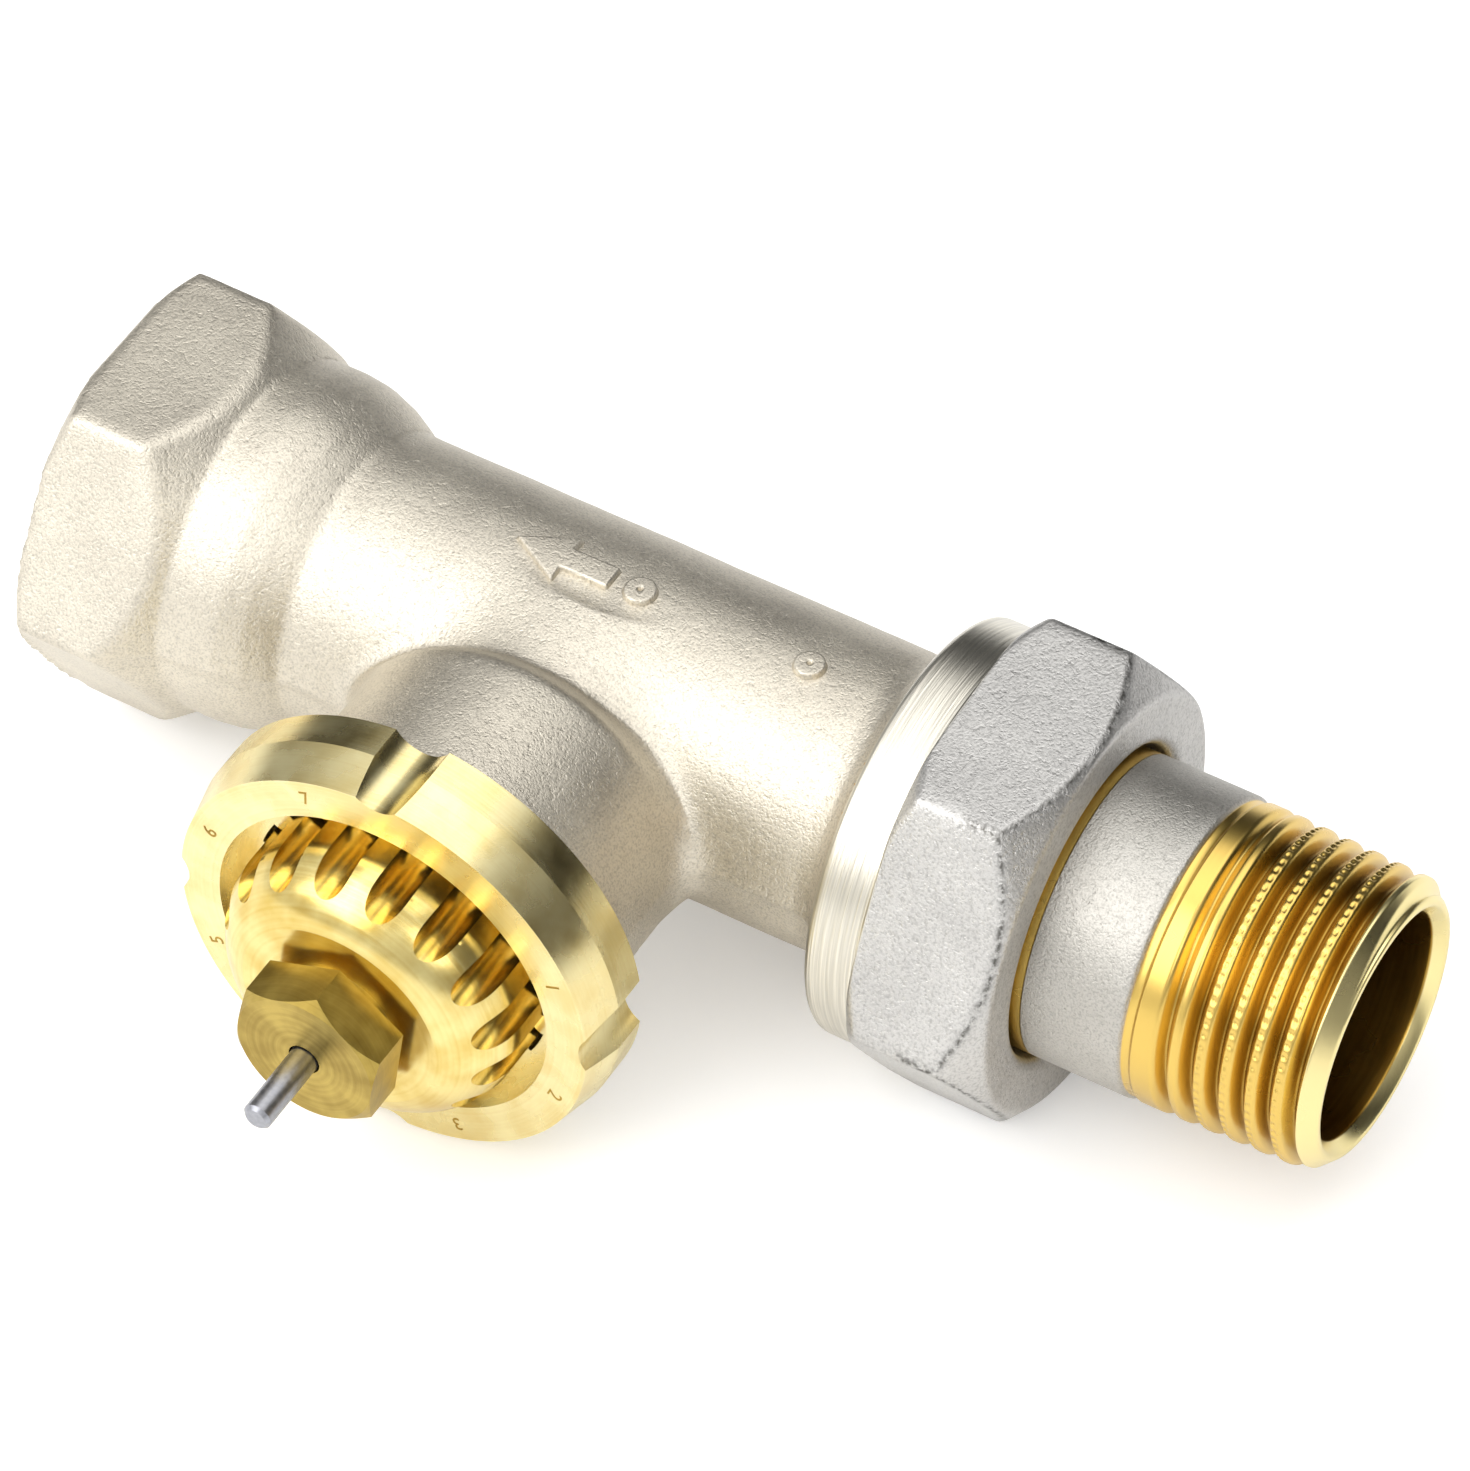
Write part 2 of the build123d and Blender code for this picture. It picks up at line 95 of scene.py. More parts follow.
def run_radius(x, angle):
    """Outer radius of the run: hexagon, collar, shoulder, tube, flare and spigot."""
    outline = np.array([
        (-1, 12.3), (0, 13.9), (1.1, 15.59), (6.6, 15.59), (10.4, 12.7), (12.8, 12.7),
        (14.4, 12.5), (16.2, 11.9), (17.6, 11.2), (18.4, 10.73), (19.2, 10.65),
        (57.8, 10.65), (58.8, 10.88), (59.6, 11.5), (60.2, 12.9), (70, 12.9),
    ]) * MM
    turned = np.interp(x, *outline.T)
    forged = soft_min(turned, hexagon(angle, inlet_half_flats, math.pi), edge_softness)
    level = np.sin(angle) * tube_radius
    ridge = parting_ridge * np.exp(-(level / (0.3 * MM)) ** 2)
    seam = ridge - parting_step * np.clip(0.5 - level / (0.4 * MM), 0, 1)
    return np.where(x < 11.5 * MM, forged, turned) + np.where(x < spigot_start, seam, 0)


def body_distance(points):
    """Signed distance, near the surface, to the outside of the forging."""
    x, y, z = points.T
    run = np.hypot(y, z) - run_radius(x, np.arctan2(z, y))
    height = -y
    neck_heights = np.array([-5, 8.2, 10.4, 11.0, 21.4]) * MM
    neck_radii = np.array([9.6, 9.6, 12.0, 12.33, 12.33]) * MM
    seam = parting_ridge * np.exp(-((z / (0.3 * MM)) ** 2))
    neck = np.hypot(x - insert_x, z) - np.interp(height, neck_heights, neck_radii) - seam
    neck = np.maximum(neck, np.maximum(height - 21.4 * MM, neck_root - height))
    return soft_min(run, neck, root_softness)


def cad_copy(node, name):
    """A merged copy of a CAD node's mesh, as a new object."""
    source = frame["nodes"][node]
    piece = bpy.data.objects.new(name, source.data.copy())
    piece.data.transform(source.matrix_world)
    bpy.context.scene.collection.objects.link(piece)
    merged = bmesh.new()
    merged.from_mesh(piece.data)
    bmesh.ops.remove_doubles(merged, verts=merged.verts, dist=0.002 * MM)
    merged.to_mesh(piece.data)
    merged.free()
    return piece


def plain_mesh(piece):
    """Apply a piece's modifiers and keep the result as a plain mesh."""
    evaluated = piece.evaluated_get(bpy.context.evaluated_depsgraph_get())
    result = bpy.data.meshes.new_from_object(evaluated)
    piece.modifiers.clear()
    piece.data = result


def dress(piece, body, slot, material, *nodes):
    """Give a finished piece its material and body, and hide the CAD nodes it stands for."""
    piece.data.materials.clear()
    piece.data.materials.append(material)
    piece.data.shade_smooth()
    if nodes:
        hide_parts(*nodes)
    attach(piece, body)


forging = cad_copy("valve_body", "forged_body")
remesh = forging.modifiers.new("skin", "REMESH")
remesh.mode = "VOXEL"
remesh.voxel_size = body_voxel
plain_mesh(forging)
points = np.empty(len(forging.data.vertices) * 3)
forging.data.vertices.foreach_get("co", points)
points = points.reshape(-1, 3)
normals = np.empty(len(points) * 3)
forging.data.vertices.foreach_get("normal", normals)


def body_slope(points):
    """Gradient of the distance to the forging's outside."""
    step = 0.01 * MM
    here = body_distance(points)
    return np.stack([(body_distance(points + step * axis) - here) / step for axis in np.eye(3)], axis=1)


outside = (np.abs(body_distance(points)) < 2.2 * MM) & (points[:, 0] > 0.4 * MM)
outside &= (points[:, 0] < spigot_start - 0.3 * MM) & (-points[:, 1] < 21.0 * MM)
outside &= (body_slope(points) * normals.reshape(-1, 3)).sum(axis=1) > 0.15
skin = points[outside]
for _ in range(6):
    slope = body_slope(skin)
    skin -= (body_distance(skin) / np.maximum((slope ** 2).sum(axis=1), 0.2))[:, None] * slope
hammer = np.array([
    noise.noise(Vector(p) / (4 * MM)) + 0.5 * noise.noise(Vector(p) / (1.6 * MM)) for p in skin
])
skin += 0.035 * MM * hammer[:, None] * slope
points[outside] = skin
points[:, 0] = np.maximum(points[:, 0], 0)
forging.data.vertices.foreach_set("co", points.ravel())
forging.data.update()
from_insert = np.hypot(points[:, 0] - insert_x, points[:, 2])
root = outside & (-points[:, 1] > 6 * MM) & (-points[:, 1] < 11.5 * MM)
root &= (from_insert > 9 * MM) & (from_insert < 15 * MM)
eased_skin = bmesh.new()
eased_skin.from_mesh(forging.data)
eased_skin.verts.ensure_lookup_table()
for _ in range(5):
    bmesh.ops.smooth_vert(
        eased_skin, verts=[eased_skin.verts[i] for i in np.flatnonzero(root)], factor=0.5,
        use_axis_x=True, use_axis_y=True, use_axis_z=True)
eased_skin.to_mesh(forging.data)
eased_skin.free()


def blasted_nickel(name, pale, shade, grain):
    """Nickel plate over a blasted forging: satin, warm grey, with a fine even grain that sparkles."""
    material = bpy.data.materials.new(name)
    material.use_nodes = True
    tree = material.node_tree
    shader = tree.nodes["Principled BSDF"]
    shader.inputs["Metallic"].default_value = 1.0
    place = add(tree, "ShaderNodeTexCoord").outputs["Object"]
    cloud = add(tree, "ShaderNodeTexNoise", {"Vector": place, "Scale": 1 / (5 * MM), "Detail": 4.0})
    grit = add(tree, "ShaderNodeTexNoise", {
        "Vector": place, "Scale": 1 / grain, "Detail": 2.0, "Roughness": 0.6,
    })
    pits = add(tree, "ShaderNodeTexNoise", {
        "Vector": place, "Scale": 1 / (0.5 * MM), "Detail": 3.0, "Roughness": 0.7,
    })
    pit = add(tree, "ShaderNodeMapRange", {
        "Value": pits.outputs["Fac"], "From Min": 0.3, "From Max": 0.48,
    })
    tone = add(tree, "ShaderNodeMix", {
        "Factor_Float": cloud.outputs["Fac"], "A_Color": linear(shade), "B_Color": linear(pale),
    }, data_type="RGBA")
    speck = add(tree, "ShaderNodeMapRange", {
        "Value": grit.outputs["Fac"], "From Min": 0.3, "From Max": 0.55, "To Min": 0.72,
    })
    shaded = add(tree, "ShaderNodeMix", {
        "Factor_Float": 1.0, "A_Color": tone.outputs[2], "B_Color": speck.outputs["Result"],
    }, data_type="RGBA", blend_type="MULTIPLY")
    tree.links.new(shaded.outputs[2], shader.inputs["Base Color"])
    rough = add(tree, "ShaderNodeMapRange", {
        "Value": cloud.outputs["Fac"], "To Min": 0.4, "To Max": 0.54,
    })
    tree.links.new(rough.outputs["Result"], shader.inputs["Roughness"])
    pitted = add(tree, "ShaderNodeMath", {
        "Value": pit.outputs["Result"], "Value_001": 0.6, "Value_002": grit.outputs["Fac"],
    }, operation="MULTIPLY_ADD")
    bump = add(tree, "ShaderNodeBump", {
        "Height": pitted.outputs["Value"], "Strength": 0.9, "Distance": 0.045 * MM,
    })
    tree.links.new(bump.outputs["Normal"], shader.inputs["Normal"])
    return material


body_finish = blasted_nickel("blasted nickel on forged brass", "#ebe4d4", "#d2cabb", 0.17 * MM)
dress(forging, "body", "nickel_plated_brass", body_finish, "valve_body")

# Flow arrow and mould dots: raised on the forging's crown, pressed with it. The letters of the
# real forging are left out and their place stays bare.
arrow_tip, arrow_base, arrow_end = 30.5 * MM, 34.4 * MM, 37.9 * MM
arrow_half_head, arrow_half_shaft = 2.1 * MM, 0.93 * MM
mark_height = 0.42 * MM


def mesh_piece(name, points, faces):
    """A new object from points and faces, its normals turned outwards."""
    mesh = bpy.data.meshes.new(name)
    mesh.from_pydata(points.tolist(), [], faces.tolist())
    turned = bmesh.new()
    turned.from_mesh(mesh)
    bmesh.ops.recalc_face_normals(turned, faces=turned.faces)
    turned.to_mesh(mesh)
    turned.free()
    piece = bpy.data.objects.new(name, mesh)
    bpy.context.scene.collection.objects.link(piece)
    return piece


def shell(name, upper, lower):
    """A closed shell between two equal grids of points."""
    rows, columns = upper.shape[:2]
    index = np.arange(rows * columns).reshape(rows, columns)
    quads = np.stack([index[:-1, :-1], index[1:, :-1], index[1:, 1:], index[:-1, 1:]], axis=-1)
    quads = quads.reshape(-1, 4)
    rim = np.concatenate([index[0, :-1], index[:-1, -1], index[-1, :0:-1], index[:0:-1, 0]])
    beside = np.roll(rim, -1)
    sides = np.stack([rim, beside, beside + rows * columns, rim + rows * columns], axis=-1)
    points = np.concatenate([upper.reshape(-1, 3), lower.reshape(-1, 3)])
    return mesh_piece(name, points, np.concatenate([quads, quads[:, ::-1] + rows * columns, sides]))


def raised_mark(name, low, high, half_width, depth):
    """A patch on the crown of the tube, sunk in it but for the mark that depth rises in."""
    grid = 0.09 * MM
    x, across = np.meshgrid(
        np.arange(low, high, grid), np.arange(-half_width, half_width, grid), indexing="ij")
    rise = np.clip(0.5 - depth(x, across) / (0.24 * MM), 0, 1)
    rise = rise * rise * (3 - 2 * rise)
    radius = tube_radius - 0.16 * MM + (0.16 * MM + mark_height) * rise
    angle = across / tube_radius
    upper = np.stack([x, radius * np.sin(angle), radius * np.cos(angle)], axis=-1)
    lower = np.stack([x, (tube_radius - MM) * np.sin(angle), (tube_radius - MM) * np.cos(angle)], axis=-1)
    mark = shell(name, upper, lower)
    dress(mark, "body", "nickel_plated_brass", body_finish)


def arrow_depth(x, across):
    """Distance outside the arrow's outline."""
    side = np.abs(across)
    slope = arrow_half_head / (arrow_base - arrow_tip)
    wedge = np.maximum((side - (x - arrow_tip) * slope) / math.hypot(1, slope), x - arrow_base)
    shaft = np.maximum(side - arrow_half_shaft, np.maximum(x - arrow_end, arrow_base - MM - x))
    return np.minimum(wedge, shaft)


raised_mark("flow_arrow", 29.8 * MM, 38.6 * MM, 2.8 * MM, arrow_depth)
for dot_x, dot_radius in ((39.9 * MM, 1.15 * MM), (52.6 * MM, 1.1 * MM)):
    raised_mark(
        "mould_dot", dot_x - 1.8 * MM, dot_x + 1.8 * MM, 1.8 * MM,
        lambda x, across: np.abs(np.hypot(x - dot_x, across) - 0.55 * dot_radius) - 0.45 * dot_radius,
    )

# Machined threads of the body: a parallel female thread in the inlet and a male one on the
# union spigot, cut in the brass. Each is one ridge wound along a helix.
inlet_thread_radius = 9.3155 * MM
thread_pitch = 1.814 * MM


def helical_ridge():
    """Geometry Nodes tree that winds a round ridge along a helix."""
    tree = bpy.data.node_groups.new("helical_ridge", "GeometryNodeTree")
    for name, kind in (
        ("Turns", "NodeSocketFloat"), ("Pitch", "NodeSocketFloat"), ("Radius", "NodeSocketFloat"),
        ("Ridge", "NodeSocketFloat"), ("Start", "NodeSocketVector"), ("Material", "NodeSocketMaterial"),
    ):
        tree.interface.new_socket(name, in_out="INPUT", socket_type=kind)
    tree.interface.new_socket("Geometry", in_out="OUTPUT", socket_type="NodeSocketGeometry")
    given = add(tree, "NodeGroupInput").outputs
    height = add(tree, "ShaderNodeMath", {
        "Value": given["Turns"], "Value_001": given["Pitch"],
    }, operation="MULTIPLY")
    helix = add(tree, "GeometryNodeCurveSpiral", {
        "Resolution": 96, "Rotations": given["Turns"], "Start Radius": given["Radius"],
        "End Radius": given["Radius"], "Height": height.outputs["Value"],
    })
    section = add(tree, "GeometryNodeCurvePrimitiveCircle", {
        "Resolution": 10, "Radius": given["Ridge"],
    })
    wound = add(tree, "GeometryNodeCurveToMesh", {
        "Curve": helix.outputs["Curve"], "Profile Curve": section.outputs["Curve"], "Fill Caps": True,
    })
    laid = add(tree, "GeometryNodeTransform", {
        "Geometry": wound.outputs["Mesh"], "Translation": given["Start"], "Rotation": (0, math.pi / 2, 0),
    })
    whole = add(tree, "GeometryNodeRealizeInstances", {"Geometry": laid.outputs["Geometry"]})
    painted = add(tree, "GeometryNodeSetMaterial", {
        "Geometry": whole.outputs["Geometry"], "Material": given["Material"],
    })
    add(tree, "NodeGroupOutput", {"Geometry": painted.outputs["Geometry"]})
    return tree


def wound_ridge(name, body, slot, **values):
    """A finished ridge from the helix tree, as a plain mesh."""
    piece = bpy.data.objects.new(name, bpy.data.meshes.new(name))
    bpy.context.scene.collection.objects.link(piece)
    modifier = piece.modifiers.new("ridge", "NODES")
    modifier.node_group = ridge_tree
    for socket in ridge_tree.interface.items_tree:
        if socket.in_out == "INPUT":
            modifier[socket.identifier] = values[socket.name]
    plain_mesh(piece)
    dress(piece, body, slot, values["Material"])


def turned_brass(name, pale, shade, roughness, axis_place, run, lines, bump_depth):
    """Brass turned on a lathe: fine rings round its axis and soft clouds of tarnish."""
    material = bpy.data.materials.new(name)
    material.use_nodes = True
    tree = material.node_tree
    shader = tree.nodes["Principled BSDF"]
    shader.inputs["Metallic"].default_value = 1.0
    place = add(tree, "ShaderNodeTexCoord").outputs["Object"]
    moved = add(tree, "ShaderNodeVectorMath", {
        "Vector": place, "Vector_001": axis_place,
    }, operation="SUBTRACT")
    across = add(tree, "ShaderNodeVectorMath", {
        "Vector": moved.outputs["Vector"], "Vector_001": (0, 1, 1) if run else (1, 0, 1),
    }, operation="MULTIPLY")
    radius = add(tree, "ShaderNodeVectorMath", {"Vector": across.outputs["Vector"]}, operation="LENGTH")
    split = add(tree, "ShaderNodeSeparateXYZ", {"Vector": moved.outputs["Vector"]})
    along = add(tree, "ShaderNodeMath", {
        "Value": radius.outputs["Value"], "Value_001": split.outputs["X" if run else "Y"],
    }, operation="ADD")
    rings = add(tree, "ShaderNodeTexNoise", {
        "W": along.outputs["Value"], "Scale": 1 / lines, "Detail": 3.0,
    }, noise_dimensions="1D")
    cloud = add(tree, "ShaderNodeTexNoise", {"Vector": place, "Scale": 1 / (2.4 * MM), "Detail": 3.0})
    grit = add(tree, "ShaderNodeTexNoise", {"Vector": place, "Scale": 1 / (0.25 * MM), "Detail": 2.0})
    ringed = add(tree, "ShaderNodeMath", {
        "Value": rings.outputs["Fac"], "Value_001": 0.3, "Value_002": cloud.outputs["Fac"],
    }, operation="MULTIPLY_ADD")
    share = add(tree, "ShaderNodeMapRange", {
        "Value": ringed.outputs["Value"], "From Min": 0.45, "From Max": 0.85,
    })
    tone = add(tree, "ShaderNodeMix", {
        "Factor_Float": share.outputs["Result"], "A_Color": linear(shade), "B_Color": linear(pale),
    }, data_type="RGBA")
    tree.links.new(tone.outputs[2], shader.inputs["Base Color"])
    rough = add(tree, "ShaderNodeMapRange", {
        "Value": cloud.outputs["Fac"], "To Min": roughness - 0.08, "To Max": roughness + 0.1,
    })
    tree.links.new(rough.outputs["Result"], shader.inputs["Roughness"])
    relief = add(tree, "ShaderNodeMath", {
        "Value": grit.outputs["Fac"], "Value_001": 0.5, "Value_002": rings.outputs["Fac"],
    }, operation="MULTIPLY_ADD")
    bump = add(tree, "ShaderNodeBump", {
        "Height": relief.outputs["Value"], "Strength": 0.7, "Distance": bump_depth,
    })
    tree.links.new(bump.outputs["Normal"], shader.inputs["Normal"])
    return material


ridge_tree = helical_ridge()
insert_place = (insert_x, 0, 0)
bare_brass = turned_brass(
    "bare cut brass", "#e0b85a", "#b98a30", 0.3, (0, 0, 0), True, 0.12 * MM, 0.01 * MM)
forging.data.materials.append(bare_brass)
centres = np.array([face.center for face in forging.data.polygons])
cut_faces = (body_distance(centres) < -0.8 * MM) & (centres[:, 0] > 0.6 * MM)
cut_faces |= centres[:, 0] > spigot_start - 0.3 * MM
forging.data.polygons.foreach_set("material_index", cut_faces.astype(np.int32))
wound_ridge(
    "inlet_thread", "body", "bright_brass", Turns=6.8, Pitch=thread_pitch,
    Radius=inlet_thread_radius + 0.15 * MM, Ridge=0.55 * MM, Start=(1.0 * MM, 0, 0), Material=bare_brass,
)
wound_ridge(
    "spigot_thread", "body", "bright_brass", Turns=4.0, Pitch=thread_pitch, Radius=12.72 * MM,
    Ridge=0.3 * MM, Start=(61.4 * MM, 0, 0), Material=bare_brass,
)

# Retaining ring, seals and the parts of the shut-off: stock parts inside the neck, kept as
# constructed. Snap ring and pin of stainless steel, rubber seals, brass and plastic turnings.


def plain_finish(name, pale, shade, metallic, roughness, grain, bump_depth):
    """A small part's finish: two tones in a fine grain."""
    material = bpy.data.materials.new(name)
    material.use_nodes = True
    tree = material.node_tree
    shader = tree.nodes["Principled BSDF"]
    shader.inputs["Metallic"].default_value = metallic
    place = add(tree, "ShaderNodeTexCoord").outputs["Object"]
    grit = add(tree, "ShaderNodeTexNoise", {"Vector": place, "Scale": 1 / grain, "Detail": 3.0})
    tone = add(tree, "ShaderNodeMix", {
        "Factor_Float": grit.outputs["Fac"], "A_Color": linear(shade), "B_Color": linear(pale),
    }, data_type="RGBA")
    tree.links.new(tone.outputs[2], shader.inputs["Base Color"])
    rough = add(tree, "ShaderNodeMapRange", {
        "Value": grit.outputs["Fac"], "To Min": roughness - 0.1, "To Max": roughness + 0.1,
    })
    tree.links.new(rough.outputs["Result"], shader.inputs["Roughness"])
    bump = add(tree, "ShaderNodeBump", {
        "Height": grit.outputs["Fac"], "Strength": 0.6, "Distance": bump_depth,
    })
    tree.links.new(bump.outputs["Normal"], shader.inputs["Normal"])
    return material


def paint(node, finish):
    """Give a piece that keeps its CAD mesh its finish."""
    materials = frame["nodes"][node].data.materials
    materials.clear()
    materials.append(finish)


steel = plain_finish("drawn stainless steel", "#b9bac0", "#8f9096", 1.0, 0.34, 0.3 * MM, 0.008 * MM)
rubber = plain_finish("black seal rubber", "#2a2a2c", "#1a1a1b", 0.0, 0.6, 0.4 * MM, 0.02 * MM)
plastic = plain_finish("dark moulded plastic", "#3d4147", "#2b2e33", 0.0, 0.45, 0.35 * MM, 0.015 * MM)
dark_brass = turned_brass(
    "dark cut brass", "#c4a24a", "#8d702c", 0.35, insert_place, False, 0.15 * MM, 0.008 * MM)
for node, finish in (
    ("retaining_ring", steel), ("gland_washer", steel), ("spindle", steel), ("return_spring", steel),
    ("pin_lip_seal", rubber), ("pin_o_ring", rubber), ("head_o_ring", rubber), ("barrel_o_ring", rubber),
    ("valve_disc", rubber), ("disc_retainer", dark_brass), ("spring_cap", dark_brass),
    ("setting_barrel", plastic),
):
    paint(node, finish)

# Setting head: a brass turning with sixteen flutes milled round it that the ring's teeth
# lock in; its domed front is polished by the tool. The snap ring keeps it in the neck.
head_brass = turned_brass(
    "polished pale brass", "#f0dd96", "#d9bb66", 0.22, insert_place, False, 0.35 * MM, 0.003 * MM)
paint("setting_head", head_brass)

# Setting ring: a brass turning that slides on the head, with four half-round grooves in its
# rim for the fingers. Its numbers, struck in on the real ring, are thin figures laid on
# the front face.
ring_brass = turned_brass(
    "turned ring brass", "#f8ebb4", "#ead594", 0.26, insert_place, False, 0.22 * MM, 0.003 * MM)
ring_face = 27.7 * MM
number_radius = 13.85 * MM
number_size = 1.5 * MM
paint("setting_ring", ring_brass)
for number in range(1, 8):
    letter = bpy.data.curves.new("number", "FONT")
    letter.body = str(number)
    letter.size = number_size
    letter.align_x = "CENTER"
    letter.align_y = "CENTER"
    letter.extrude = 0.02 * MM
    turn = math.radians(22.5 + 45 * number)
    writer = bpy.data.objects.new("number_writer", letter)
    bpy.context.scene.collection.objects.link(writer)
    bpy.context.view_layer.update()
    mesh = bpy.data.meshes.new_from_object(writer.evaluated_get(bpy.context.evaluated_depsgraph_get()))
    bpy.data.objects.remove(writer)
    flat = np.array([v.co for v in mesh.vertices])
    upright = np.stack([flat[:, 0], -flat[:, 2], flat[:, 1] + number_radius], axis=1)
    turned = np.stack([
        insert_x + upright[:, 0] * math.cos(turn) + upright[:, 2] * math.sin(turn),
        upright[:, 1] - ring_face,
        -upright[:, 0] * math.sin(turn) + upright[:, 2] * math.cos(turn),
    ], axis=1)
    mesh.vertices.foreach_set("co", turned.ravel())
    figure = bpy.data.objects.new("ring_number_%d" % number, mesh)
    bpy.context.scene.collection.objects.link(figure)
    dress(figure, "ring", "dark_brass", dark_brass)
    figure.data.shade_flat()

# Gland nut: a small hexagon of brass bar, drilled for the pin and dull from its stock.
# It closes the head and holds the pin's seal.
gland_brass = turned_brass(
    "dull olive brass", "#c4ab5c", "#9c8440", 0.36, insert_place, False, 0.3 * MM, 0.004 * MM)
paint("gland_nut", gland_brass)

# Pressure pin: a ground stainless rod that slides through the gland. Pushed in, it shuts
# the valve, and the return spring brings it out again.
paint("pressure_pin", steel)

# Union nut: a brass forging, nickel plated and tumbled; its skirt is turned bright and its
# front corners are chamfered round. It draws the tail's collar to the spigot.
nut_hex_start = 64.6 * MM
nut_half_flats = 15.0 * MM
nut_turn = math.radians(3.0)


def eased(profile, ease, steps):
    """A closed profile with each corner rounded by a short curve."""
    profile = np.array(profile)
    before, after = np.roll(profile, 1, axis=0), np.roll(profile, -1, axis=0)
    result = []
    for corner, a, b in zip(profile, before, after):
        reach_a = min(ease, 0.45 * np.linalg.norm(a - corner))
        reach_b = min(ease, 0.45 * np.linalg.norm(b - corner))
        start = corner + (a - corner) / np.linalg.norm(a - corner) * reach_a
        end = corner + (b - corner) / np.linalg.norm(b - corner) * reach_b
        for t in np.linspace(0, 1, steps):
            result.append((1 - t) ** 2 * start + 2 * t * (1 - t) * corner + t * t * end)
    return np.array(result)


def filled(profile, gap):
    """A closed profile with points added so that none lie further apart than gap."""
    result = []
    for a, b in zip(profile, np.roll(profile, -1, axis=0)):
        count = max(1, int(np.ceil(np.linalg.norm(b - a) / gap)))
        result.extend(a + (b - a) * t for t in np.arange(count) / count)
    return np.array(result)


def lathe(name, profile, steps, radius):
    """A closed turning about the run from a closed profile of (x, r), its radius shaped by a rule."""
    angle = np.linspace(0, 2 * math.pi, steps, endpoint=False)
    x, turn = np.meshgrid(profile[:, 0], angle, indexing="ij")
    r = radius(x, np.repeat(profile[:, 1:], steps, axis=1), turn)
    points = np.stack([x, r * np.cos(turn), r * np.sin(turn)], axis=-1).reshape(-1, 3)
    index = np.arange(len(profile) * steps).reshape(len(profile), steps)
    after, beside = np.roll(index, -1, axis=0), np.roll(index, -1, axis=1)
    faces = np.stack([index, after, np.roll(after, -1, axis=1), beside], axis=-1).reshape(-1, 4)
    return mesh_piece(name, points, faces)


def nut_radius(x, r, turn):
    """The nut's outside is the lesser of its turned outline and its hexagon."""
    hexed = soft_min(r, hexagon(turn, nut_half_flats, nut_turn), 0.5 * MM)
    flank = np.clip((x - nut_hex_start) / (0.3 * MM) + 1, 0, 1)
    return np.where(r > 13.3 * MM, r + (hexed - r) * flank, r)


nut_profile = np.array([
    (60.6, 13.1), (60.6, 14.3), (60.95, 14.66), (64.6, 14.66), (64.6, 15.9), (65.9, 17.3),
    (71.7, 17.3), (74.1, 14.6), (74.1, 11.5), (73.6, 10.95), (71.55, 10.95), (71.55, 13.1),
]) * MM
union_nut = lathe("union_nut_skin", filled(eased(nut_profile, 0.3 * MM, 4), 0.3 * MM), 360, nut_radius)
spots = np.array([v.co for v in union_nut.data.vertices])
turn = np.arctan2(spots[:, 2], spots[:, 1])
envelope = np.interp(spots[:, 0], *(nut_profile[4:8].T))
edge = (envelope - hexagon(turn, nut_half_flats, nut_turn)) / (0.2 * MM)
outer = (np.hypot(spots[:, 1], spots[:, 2]) > 14.0 * MM) & (spots[:, 0] > nut_hex_start)
# A band along the edges where the back chamfer meets the flats, on the far end only (x past 69 mm), which
# the material darkens.
dark_arcs = union_nut.data.attributes.new("dark_arcs", "FLOAT", "POINT")
dark_arcs.data.foreach_set("value", np.where(outer & (spots[:, 0] > 69 * MM), np.exp(-edge ** 2), 0.0))


